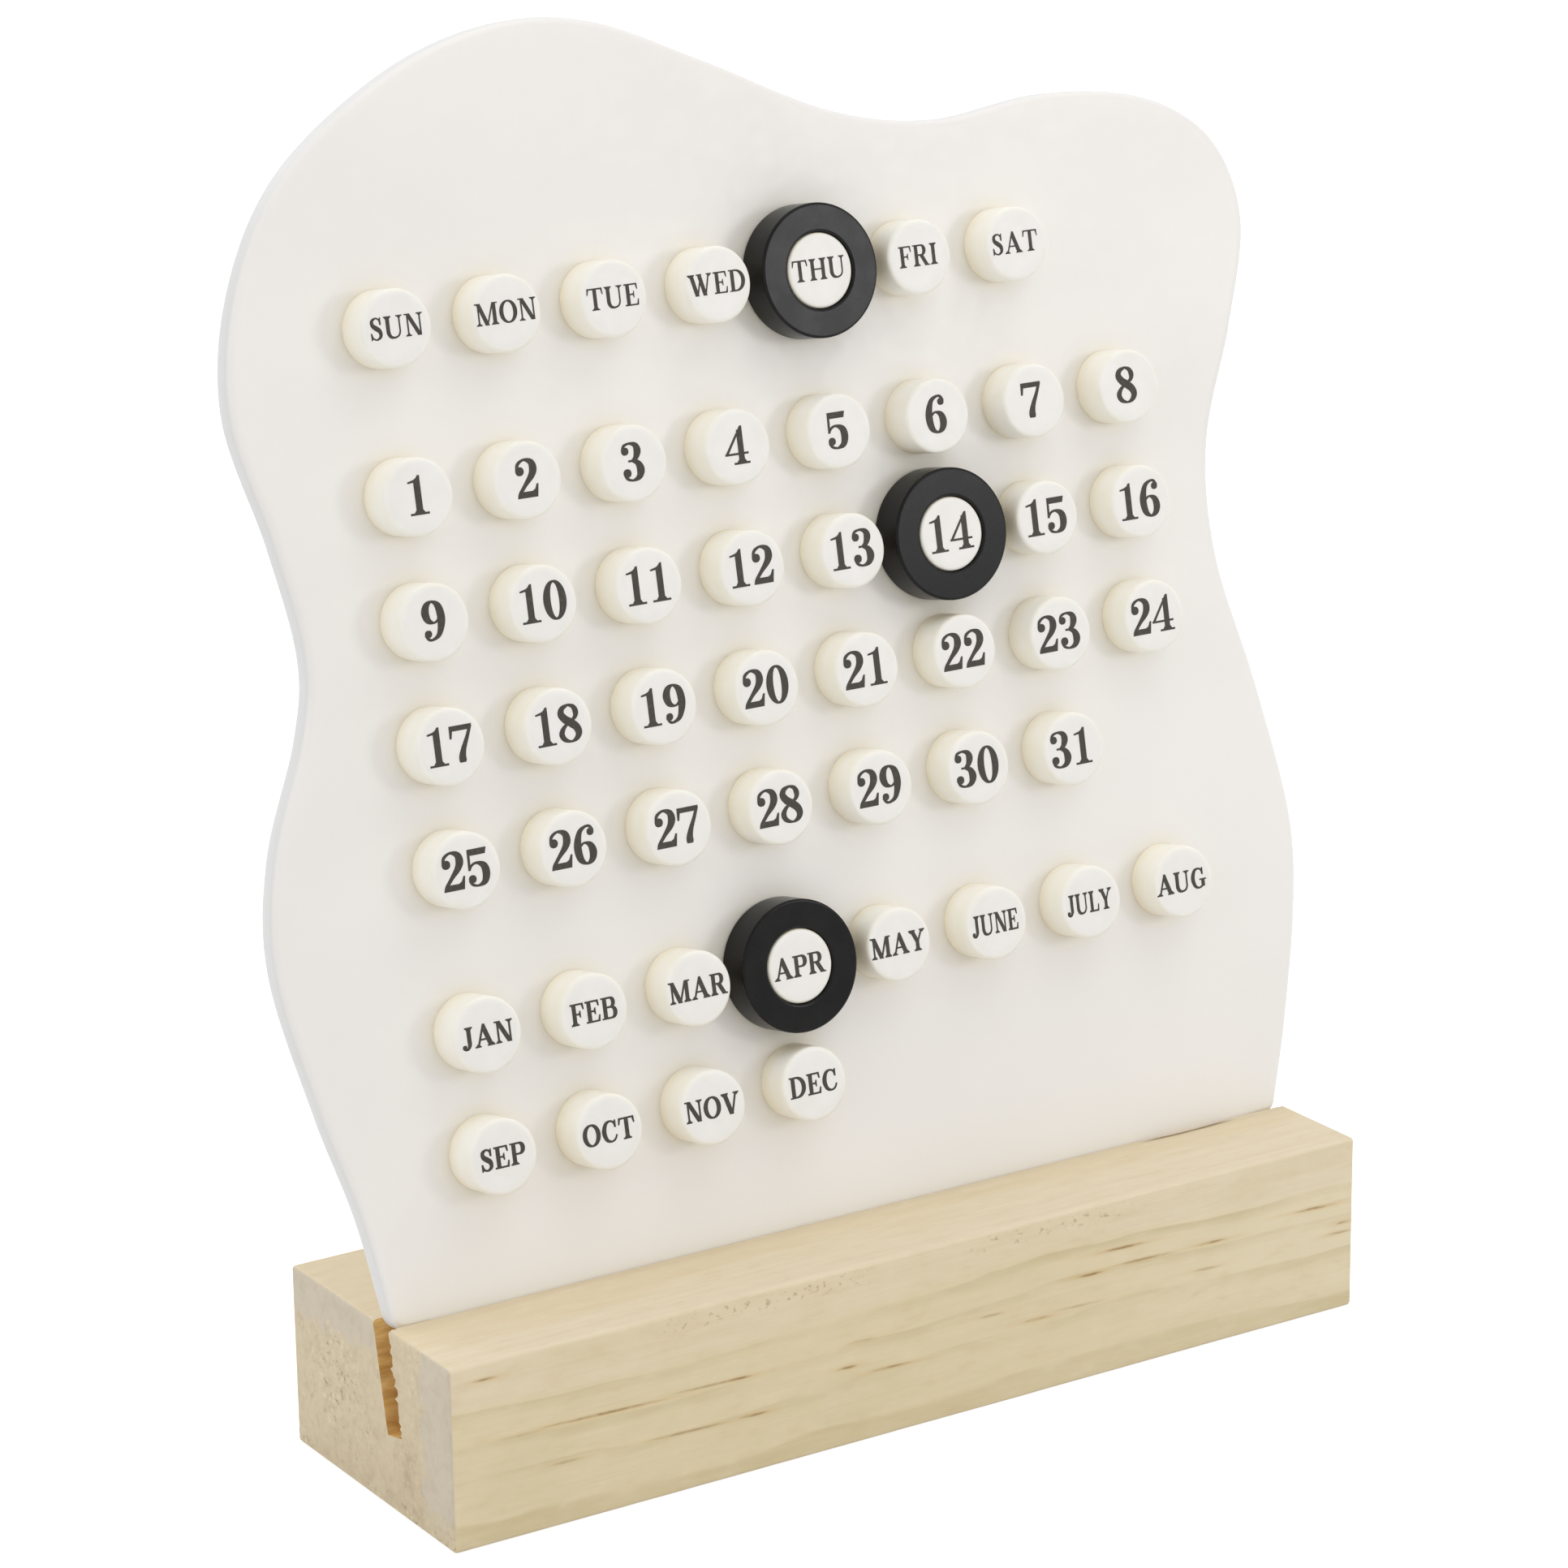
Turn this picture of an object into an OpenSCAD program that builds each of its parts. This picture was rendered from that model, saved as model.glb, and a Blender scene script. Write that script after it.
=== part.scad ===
// Perpetual desk calendar: a white wavy panel stands in a slot across a pine block and carries a peg for
// each weekday, date and month. A loose ring marks one peg in each of the three groups.
// Millimetres, +Z up, front towards -Y, origin at the middle of the base's underside.

/* [Base] */
// Width of the wooden base
base_w = 150.6; // [130:0.1:200]
// Depth of the base, front to back
base_d = 44.5; // [36:0.5:80]
// Height of the base
base_h = 26.2; // [22:0.1:40]
// Rounding of the base's edges
base_edge_r = 0.6; // [0.5:0.1:3]

/* [Slot] */
// Backward lean of the slot and the panel, in degrees
lean = 11.3; // [5:0.1:18]
// Depth of the slot, measured along its lean
slot_depth = 15; // [10:0.5:18]
// Distance of the slot's middle ahead of the base's middle, at the top face
slot_ahead = 3.5; // [0:0.1:8]
// Clearance between the panel and each wall of the slot
slot_fit = 0.1; // [0.05:0.01:0.3]

/* [Panel] */
// Thickness of the panel
panel_t = 4; // [3.4:0.1:6]
// Rounding of the panel's edges
panel_edge_r = 1.2; // [0.5:0.1:1.6]
// Distance of the panel's sides from the ends of the base, at the foot
foot_inset = 1; // [0:0.5:5]
// Height above the base where the panel's sides turn in to the tongue
foot_turn = 1; // [0:0.1:3]
// Radius of the turned-in corners at the foot
foot_r = 2.5; // [1.7:0.1:5]
// Outward flare of the panel's sides at the foot, in degrees
foot_flare = 14; // [0:1:25]
// Step from the panel's sides in to the sides of the tongue
tongue_step = 4.5; // [3:0.5:10]
// Radius of the tongue's lower corners
tongue_r = 1.8; // [1.7:0.1:4]
// Clearance between the tongue and the floor of the slot
floor_gap = 0.1; // [0:0.05:1]
// Height of the panel's lowest top edge above the weekday pegs
top_margin = 18.6; // [12:0.1:30]

/* [Pegs] */
// Diameter of a peg
peg_d = 10.4; // [8:0.1:12]
// Height of a peg above the panel
peg_h = 5.6; // [4:0.1:8]
// Rounding of a peg's rim
peg_rim_r = 0.5; // [0.2:0.1:1.5]
// Distance between neighbouring pegs in a row
col_pitch = 16.5; // [15.5:0.1:18]
// Distance between neighbouring rows in a group
row_pitch = 16.6; // [15.5:0.1:19]
// Distance between the neighbouring rows of two groups
group_pitch = 22.2; // [18:0.1:26]
// Height of the lowest row above the base
first_row = 20.5; // [18:0.1:30]
// Diameter of the spigot that holds a peg in the panel
spigot_d = 4; // [3:0.1:6]
// Length of the spigot
spigot_l = 2.2; // [1.5:0.1:2.4]
// Lead-in chamfer at the end of the spigot
spigot_lead = 0.3; // [0.1:0.1:0.6]
// Clearance around the spigot and under its end
spigot_fit = 0.1; // [0.05:0.01:0.2]

/* [Rings] */
// Wall of a ring, from its bore to its rim
ring_wall = 4; // [2.5:0.1:5]
// Thickness of a ring
ring_t = 5.6; // [3:0.1:8]
// Rounding of a ring's edges
ring_edge_r = 0.35; // [0.1:0.05:1]
// Clearance between a ring and its peg
ring_fit = 0.1; // [0.05:0.05:0.5]
// Clearance between a resting ring and the panel
ring_rest = 0.05; // [0:0.01:0.2]
// Marked weekday, counted from Sunday
marked_weekday = 5; // [1:1:7]
// Marked date
marked_date = 14; // [1:1:31]
// Marked month, counted from January
marked_month = 4; // [1:1:12]

/* [Hidden] */
WEEKDAYS = ["sun", "mon", "tue", "wed", "thu", "fri", "sat"];
MONTHS = ["jan", "feb", "mar", "apr", "may", "jun", "jul", "aug", "sep", "oct", "nov", "dec"];
DATES = [for (d = [1:31]) str("day_", d < 10 ? "0" : "", d)];
PEGS = [for (name = concat(WEEKDAYS, DATES, MONTHS)) str("peg_", name)];

// Most pegs in one row, and the place of each group's first peg in the list of pegs
COLUMNS = 8;
FIRST_DATE = len(WEEKDAYS);
FIRST_MONTH = FIRST_DATE + len(DATES);

// Rows that a group of pegs fills
function rows(group) = ceil(len(group) / COLUMNS);

// Height of each group's top row above the base: months at the bottom, then dates, then weekdays
MONTH_ROW = first_row + row_pitch * (rows(MONTHS) - 1);
DATE_ROW = MONTH_ROW + group_pitch + row_pitch * (rows(DATES) - 1);
WEEKDAY_ROW = DATE_ROW + group_pitch + row_pitch * (rows(WEEKDAYS) - 1);

// The panel's side lines and top line, which the waves of its outline are measured from
half_w = base_w / 2 - foot_inset;
top_line = WEEKDAY_ROW + top_margin;
tongue_half = half_w - tongue_step;
tongue_l = slot_depth - floor_gap;

// Waves of the right side, from the foot up: height in percent of the top line, reach beyond the side line
RIGHT_WAVE = [
    [9, 3.8], [20, 7.6], [29, 8.3], [42, 4.7], [55, 0.1], [66, 0.7], [77, 7.1], [87, 11.2], [95, 7.3]
];
// Waves of the top, from right to left: place in percent of the half width, rise above the top line
TOP_WAVE = [
    [95, -0.5], [72, 1.8], [46, 0], [23, 2.9], [-4, 11.8], [-26, 18.4], [-46, 19.5], [-68, 14.8], [-91, 3.6]
];
// Waves of the left side, from the top down: height in percent of the top line, reach beyond the side line
LEFT_WAVE = [
    [93, 2.7], [82, 6.2], [70, 2.2], [60, -0.1], [53, 1.9], [43, 8.1], [33, 10.1], [20, 6.3], [10, 2.3]
];

// Straight steps along each wave, in each round corner and across each rounded edge
WAVE_STEPS = 5;
CORNER_STEPS = 4;
EDGE_STEPS = 3;
// Facets of round pieces and of the base's rounded corners
ROUND_FN = 96;
BASE_EDGE_FN = 24;
// Angle between the points of a small round in a turned profile
ROUND_ANGLE = 18;
// Overshoot of a cut past the face that it leaves
CUT = 1;

BASE_COLOUR = [0.86, 0.79, 0.64];
PANEL_COLOUR = [0.93, 0.92, 0.9];
PEG_COLOUR = [0.97, 0.96, 0.91];
RING_COLOUR = [0.16, 0.16, 0.16];

// Column of a peg and height of its row, by its place in the list of pegs
function in_group(i, first, row) = [(i - first) % COLUMNS, row - row_pitch * floor((i - first) / COLUMNS)];
function seat(i) =
    i < FIRST_DATE ? in_group(i, 0, WEEKDAY_ROW)
    : i < FIRST_MONTH ? in_group(i, FIRST_DATE, DATE_ROW)
    : in_group(i, FIRST_MONTH, MONTH_ROW);

// Place of a peg's foot on the panel's face
function peg_place(i) = [col_pitch * (seat(i)[0] - (COLUMNS - 1) / 2), seat(i)[1], 0];

// Points of a circular arc
function arc(centre, r, from, to, steps) =
    [for (k = [0:steps]) let (a = from + (to - from) * k / steps) centre + r * [cos(a), sin(a)]];

// Point of a smooth curve between b and c, where a and d are their outer neighbours
function smooth(a, b, c, d, t) =
    (2 * b + (c - a) * t + (2 * a - 5 * b + 4 * c - d) * t ^ 2 + (3 * b - a - 3 * c + d) * t ^ 3) / 2;

// Smooth open curve through a list of points, which stops short of the last one
function smooth_run(p) =
    let (q = concat([2 * p[0] - p[1]], p, [2 * p[len(p) - 1] - p[len(p) - 2]]))
    [
        for (i = [1:len(q) - 3], k = [0:WAVE_STEPS - 1])
            smooth(q[i - 1], q[i], q[i + 1], q[i + 2], k / WAVE_STEPS)
    ];

// Points that the wavy edge passes through, from the right foot over the top to the left foot
function wave_points() = concat(
    [[half_w, foot_turn]],
    [for (w = RIGHT_WAVE) [half_w + w[1], top_line * w[0] / 100]],
    [for (w = TOP_WAVE) [half_w * w[0] / 100, top_line + w[1]]],
    [for (w = LEFT_WAVE) [-half_w - w[1], top_line * w[0] / 100]],
    [[-half_w, foot_turn]]
);

// Right half of the foot, from the tongue's lower corner up to the side
function right_foot() =
    let (turn = [half_w - foot_r * cos(foot_flare), foot_turn + foot_r * sin(foot_flare)])
    concat(
        arc([tongue_half - tongue_r, tongue_r - tongue_l], tongue_r, -90, 0, CORNER_STEPS),
        [[tongue_half, turn[1] - foot_r]],
        arc(turn, foot_r, -90, -foot_flare, CORNER_STEPS)
    );

// The same points on the other side, in reverse order
function mirrored(p) = [for (i = [len(p) - 1:-1:0]) [-p[i][0], p[i][1]]];

// Whole outline of the panel, anticlockwise, without the point that the wave and the right foot share
function outline() =
    let (foot = right_foot(), side = [for (i = [0:len(foot) - 2]) foot[i]])
    concat(side, smooth_run(wave_points()), mirrored(foot));

// Step of each outline point that moves both of its edges out by one
function edge_normal(p, q) = let (d = q - p) [d[1], -d[0]] / norm(d);
function out_steps(p) =
    [
        for (i = [0:len(p) - 1])
            let (
                before = edge_normal(p[(i + len(p) - 1) % len(p)], p[i]),
                after = edge_normal(p[i], p[(i + 1) % len(p)])
            )
            (before + after) / (1 + before * after)
    ];

// Inset and height of the rounded edge, from the front face to the back face
function edge_profile() =
    let (
        turns = [for (k = [0:EDGE_STEPS]) 90 * k / EDGE_STEPS],
        front = [for (a = turns) panel_edge_r * [1 - sin(a), cos(a) - 1]]
    )
    concat(front, [for (k = [EDGE_STEPS:-1:0]) [front[k][0], -panel_t - front[k][1]]]);

// Sheet with rounded edges and its front face at zero height, closed by fans from the middle of each face
module rounded_sheet() {
    rim = outline();
    step = out_steps(rim);
    profile = edge_profile();
    n = len(rim);
    last = len(profile) - 1;
    middle = [0, top_line / 2];
    loops = [for (e = profile, i = [0:n - 1]) concat(rim[i] - e[0] * step[i], e[1])];
    points = concat(loops, [concat(middle, 0), concat(middle, -panel_t)]);
    front = len(loops);
    back = front + 1;
    walls = [
        for (k = [0:last - 1], i = [0:n - 1])
            let (j = (i + 1) % n, a = k * n + i, b = k * n + j)
            each [[a, b, b + n], [a, b + n, a + n]]
    ];
    front_fan = [for (i = [0:n - 1]) [front, (i + 1) % n, i]];
    back_fan = [for (i = [0:n - 1]) [back, last * n + i, last * n + (i + 1) % n]];
    polyhedron(points, concat(walls, front_fan, back_fan));
}

// Frame of the panel: X across, Y up along the lean from the base's top, Z out of the front face
module on_panel() {
    face_y = -slot_ahead - panel_t / 2 / cos(lean);
    translate([0, face_y, base_h]) rotate([90 - lean, 0, 0]) children();
}

// Room for the panel in the base, open at both ends and at the top
module slot_cut() {
    size = [base_w + 2 * CUT, slot_depth + panel_t, panel_t + 2 * slot_fit];
    on_panel() translate([-size[0] / 2, -slot_depth, -panel_t - slot_fit]) cube(size);
}

// Ball whose poles and sides lie exactly at its radius
module ball(r) {
    rotate_extrude($fn = BASE_EDGE_FN) polygon(arc([0, 0], r, -90, 90, BASE_EDGE_FN / 2));
}

module base_block() {
    reach = [base_w / 2 - base_edge_r, base_d / 2 - base_edge_r];
    color(BASE_COLOUR)
        difference() {
            hull()
                for (x = [-1, 1], y = [-1, 1], z = [base_edge_r, base_h - base_edge_r])
                    translate([x * reach[0], y * reach[1], z]) ball(base_edge_r);
            slot_cut();
        }
}

module upright_panel() {
    deep = spigot_l + spigot_fit;
    color(PANEL_COLOUR)
        on_panel()
            difference() {
                rounded_sheet();
                for (i = [0:len(PEGS) - 1])
                    translate(peg_place(i) - [0, 0, deep])
                        cylinder(deep + CUT, d = spigot_d + 2 * spigot_fit, $fn = ROUND_FN);
            }
}

// Turned peg: a flat head with a rounded rim over a spigot
module peg(i) {
    r = peg_d / 2;
    s = spigot_d / 2;
    rim = arc([r - peg_rim_r, peg_h - peg_rim_r], peg_rim_r, 0, 90, 90 / ROUND_ANGLE);
    spigot = [[0, -spigot_l], [s - spigot_lead, -spigot_l], [s, spigot_lead - spigot_l], [s, 0]];
    color(PEG_COLOUR)
        on_panel()
            translate(peg_place(i))
                rotate_extrude($fn = ROUND_FN) polygon(concat(spigot, [[r, 0]], rim, [[0, peg_h]]));
}

// Flat ring over a peg, with all four edges rounded
module ring(i) {
    bore_r = peg_d / 2 + ring_fit;
    rim_r = bore_r + ring_wall;
    e = ring_edge_r;
    corners = [[rim_r - e, e], [rim_r - e, ring_t - e], [bore_r + e, ring_t - e], [bore_r + e, e]];
    section = [for (k = [0:3]) each arc(corners[k], e, 90 * k - 90, 90 * k, 90 / ROUND_ANGLE)];
    color(RING_COLOUR)
        on_panel()
            translate(peg_place(i) + [0, 0, ring_rest]) rotate_extrude($fn = ROUND_FN) polygon(section);
}

module weekday_ring() { ring(marked_weekday - 1); }
module date_ring() { ring(FIRST_DATE + marked_date - 1); }
module month_ring() { ring(FIRST_MONTH + marked_month - 1); }

base_block();
upright_panel();
for (i = [0:len(PEGS) - 1]) peg(i);
weekday_ring();
date_ring();
month_ring();
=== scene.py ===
"""Looks of the perpetual calendar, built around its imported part.

Metres, front towards -Y, base on z = 0. Lengths are named in millimetres and turned into metres by MM.
"""
import math

import bmesh
import bpy
from mathutils import Matrix, Vector, noise
from mathutils.geometry import delaunay_2d_cdt


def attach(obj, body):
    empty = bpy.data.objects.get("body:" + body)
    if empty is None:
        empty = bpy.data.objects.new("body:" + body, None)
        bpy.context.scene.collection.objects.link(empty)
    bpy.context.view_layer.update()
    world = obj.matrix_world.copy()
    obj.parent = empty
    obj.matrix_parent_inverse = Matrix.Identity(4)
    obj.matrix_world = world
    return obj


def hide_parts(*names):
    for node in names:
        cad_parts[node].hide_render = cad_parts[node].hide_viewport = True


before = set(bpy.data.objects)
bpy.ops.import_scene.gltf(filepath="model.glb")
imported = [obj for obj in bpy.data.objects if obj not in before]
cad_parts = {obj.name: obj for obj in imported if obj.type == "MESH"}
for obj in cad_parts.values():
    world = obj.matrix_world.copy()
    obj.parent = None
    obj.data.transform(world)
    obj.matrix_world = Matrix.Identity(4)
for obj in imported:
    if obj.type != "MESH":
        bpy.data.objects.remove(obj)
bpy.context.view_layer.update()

MM = 0.001

# ---- Sizes of the part ----
BASE_W, BASE_D, BASE_H, BASE_EDGE_R = 150.6, 44.5, 26.2, 0.6
LEAN = math.radians(11.3)
SLOT_DEPTH, SLOT_AHEAD, SLOT_FIT = 15, 3.5, 0.1
PANEL_T, PANEL_EDGE_R = 4, 1.2
FOOT_INSET, FOOT_TURN, FOOT_R, FOOT_FLARE = 1, 1, 2.5, math.radians(14)
TONGUE_STEP, TONGUE_R, FLOOR_GAP = 4.5, 1.8, 0.1
PEG_R, PEG_H, PEG_RIM_R = 5.2, 5.6, 0.5
COL_PITCH, ROW_PITCH, COLUMNS = 16.5, 16.6, 8
WEEKDAY_ROW, DATE_ROW, MONTH_ROW = 131.3, 109.1, 37.1
SOCKET_R, SOCKET_DEEP = 2.1, 2.3
HALF_W = BASE_W / 2 - FOOT_INSET
TOP_LINE = 149.9
FACE_Y = -SLOT_AHEAD - PANEL_T / 2 / math.cos(LEAN)
PANEL_UP = Vector((0, math.sin(LEAN), math.cos(LEAN)))
PANEL_OUT = Vector((0, -math.cos(LEAN), math.sin(LEAN)))

# Waves of the panel's outline, as in the part: sides as (percent of the top line, reach beyond the side line),
# top as (percent of the half width, rise above the top line)
RIGHT_WAVE = [(9, 3.8), (20, 7.6), (29, 8.3), (42, 4.7), (55, 0.1), (66, 0.7), (77, 7.1), (87, 11.2), (95, 7.3)]
TOP_WAVE = [(95, -0.5), (72, 1.8), (46, 0), (23, 2.9), (-4, 11.8), (-26, 18.4), (-46, 19.5), (-68, 14.8), (-91, 3.6)]
LEFT_WAVE = [(93, 2.7), (82, 6.2), (70, 2.2), (60, -0.1), (53, 1.9), (43, 8.1), (33, 10.1), (20, 6.3), (10, 2.3)]

WEEKDAYS = ["SUN", "MON", "TUE", "WED", "THU", "FRI", "SAT"]
DATES = [str(d) for d in range(1, 32)]
MONTHS = ["JAN", "FEB", "MAR", "APR", "MAY", "JUNE", "JULY", "AUG", "SEP", "OCT", "NOV", "DEC"]
GROUPS = {"weekday": (WEEKDAYS, WEEKDAY_ROW), "date": (DATES, DATE_ROW), "month": (MONTHS, MONTH_ROW)}


def on_panel(x, s, h):
    """Point in metres from the panel's own millimetres: across, up along the lean, out of the front face."""
    return MM * (Vector((x, FACE_Y, BASE_H)) + s * PANEL_UP + h * PANEL_OUT)


def peg_places(row, count):
    """Feet of a group's pegs on the panel's face, row by row from the top."""
    return [(COL_PITCH * (i % COLUMNS - (COLUMNS - 1) / 2), row - ROW_PITCH * (i // COLUMNS)) for i in range(count)]


def spline(values, t):
    """Smooth curve through equally spaced values, at t from 0 to their number less one."""
    i = min(int(t), len(values) - 2)
    u = t - i
    b, c = values[i], values[i + 1]
    a = values[i - 1] if i else 2 * b - c
    d = values[i + 2] if i + 2 < len(values) else 2 * c - b
    return (2 * b + (c - a) * u + (2 * a - 5 * b + 4 * c - d) * u**2 + (3 * b - a - 3 * c + d) * u**3) / 2


def arc(y, z, r, start, end, steps):
    """Points of a circular arc, angles in degrees."""
    turns = [math.radians(start + (end - start) * k / steps) for k in range(steps + 1)]
    return [(y + r * math.cos(a), z + r * math.sin(a)) for a in turns]


def piece(name, verts, faces, body, materials, smooth=True):
    """New mesh piece that rides on a body."""
    mesh = bpy.data.meshes.new(name)
    mesh.from_pydata(verts, [], faces)
    mesh.validate()
    obj = bpy.data.objects.new(name, mesh)
    bpy.context.scene.collection.objects.link(obj)
    for m in materials:
        mesh.materials.append(m)
    mesh.polygons.foreach_set("use_smooth", [smooth] * len(mesh.polygons))
    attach(obj, body)
    return obj


# Edges that turn by more than this stay crisp
SHARP = math.radians(35)


def tidy_normals(obj):
    """Turns the faces outwards and marks the crisp edges."""
    bm = bmesh.new()
    bm.from_mesh(obj.data)
    bmesh.ops.recalc_face_normals(bm, faces=bm.faces)
    for e in bm.edges:
        e.smooth = len(e.link_faces) == 2 and e.calc_face_angle() < SHARP
    bm.to_mesh(obj.data)
    bm.free()


# ---- Lettering: each glyph is a list of outlines in letter heights, from its left edge and the baseline ----
# Widths of upright strokes and hairlines, thickness of serifs and space between letters
STEM, HAIR, SLAB, LETTER_GAP = 0.18, 0.07, 0.05, 0.06
# Straight steps between the points of a curve and round an oval
CURVE_STEPS, OVAL_STEPS = 6, 36
# How far a serif's bracket spreads beside its stroke, and its height in slabs
BRACKET, BRACKET_SLABS = 0.06, 2.6
# How much of its height a bowl's round end reaches
BOWL_ROUND = 0.82 * 0.62


def bar(x0, y0, x1, y1):
    """Upright rectangle."""
    return [[(x0, y0), (x1, y0), (x1, y1), (x0, y1)]]


def stem(x, y0=0.0, y1=1.0, w=STEM):
    """Upright stroke around x."""
    return bar(x - w / 2, y0, x + w / 2, y1)


def slash(x0, y0, x1, y1, w):
    """Straight slanting stroke with level ends, w wide along the level."""
    return [[(x0 - w / 2, y0), (x0 + w / 2, y0), (x1 + w / 2, y1), (x1 - w / 2, y1)]]


def serif(x, y, reach, w=STEM):
    """Slab at the foot (y 0) or head (y 1) of a stroke around x, with a bracket into the stroke."""
    up = 1 if y < 0.5 else -1
    slab, top = y + up * SLAB, y + up * BRACKET_SLABS * SLAB
    half = w / 2
    return [
        [(x - reach, y), (x + reach, y), (x + reach, slab), (x - reach, slab)],
        [(x - half - BRACKET, slab), (x + half + BRACKET, slab), (x + half, top), (x - half, top)],
    ]


def dot(x, y, r):
    """Ball at the end of a stroke."""
    turns = [2 * math.pi * k / OVAL_STEPS for k in range(OVAL_STEPS)]
    return [[(x + r * math.cos(a), y + r * math.sin(a)) for a in turns]]


def ribbon(centre, last):
    """Quads along a centreline that gives x, y and width for a place from 0 to last."""
    sides = []
    for k in range(last + 1):
        x, y, w = centre(k)
        x0, y0, _ = centre(max(k - 0.1, 0))
        x1, y1, _ = centre(min(k + 0.1, last))
        length = math.hypot(x1 - x0, y1 - y0)
        nx, ny = (y0 - y1) / length * w / 2, (x1 - x0) / length * w / 2
        sides.append(((x + nx, y + ny), (x - nx, y - ny)))
    return [[a[0], b[0], b[1], a[1]] for a, b in zip(sides, sides[1:])]


def curve(*points):
    """Bent stroke through points (x, y, width)."""

    def centre(k):
        return [spline([p[j] for p in points], k / CURVE_STEPS) for j in range(3)]

    return ribbon(centre, (len(points) - 1) * CURVE_STEPS)


def oval(x, y, rx, ry, thick, thin=HAIR, turn=(0, 360)):
    """Oval stroke with thick sides, or a part of one. rx and ry reach to its outside."""

    def centre(k):
        a = math.radians(turn[0] + (turn[1] - turn[0]) * k / OVAL_STEPS)
        w = thin + (thick - thin) * abs(math.cos(a)) ** 1.5
        return x + (rx - thick / 2) * math.cos(a), y + (ry - thin / 2) * math.sin(a), w

    return ribbon(centre, OVAL_STEPS)


def bowl(x, y0, y1, reach, thick):
    """Round bowl on a stem at x: two level hairlines and half an oval that reaches out to the right."""
    middle = reach - BOWL_ROUND * (y1 - y0)
    return (
        bar(x, y0, middle, y0 + HAIR)
        + bar(x, y1 - HAIR, middle, y1)
        + oval(middle, (y0 + y1) / 2, reach - middle, (y1 - y0) / 2, thick, HAIR, (-90, 90))
    )


def left_slabs(foot=True):
    """Head slab, and foot slab, to the left of a bowl's stem."""
    return bar(0.02, 1 - SLAB, 0.3, 1) + (bar(0.02, 0, 0.3, SLAB) if foot else [])


def tick(x, y0, y1):
    """Upright beak at the end of an arm, from its root at y0 to its tip at y1."""
    return [[(x - 0.09, y0), (x, y0), (x + 0.03, y1), (x - 0.01, y1)]]


TOP_BEAK = [[(0.0, 0.68), (0.07, 0.66), (0.07, 1.0), (0.04, 1.0), (-0.02, 0.9)]]
MID_BEAK = [[(0.44, 0.505), (0.5, 0.35), (0.52, 0.35), (0.52, 0.66), (0.5, 0.66)]]


def moved(outlines, dx):
    return [[(x + dx, y) for x, y in o] for o in outlines]


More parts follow.
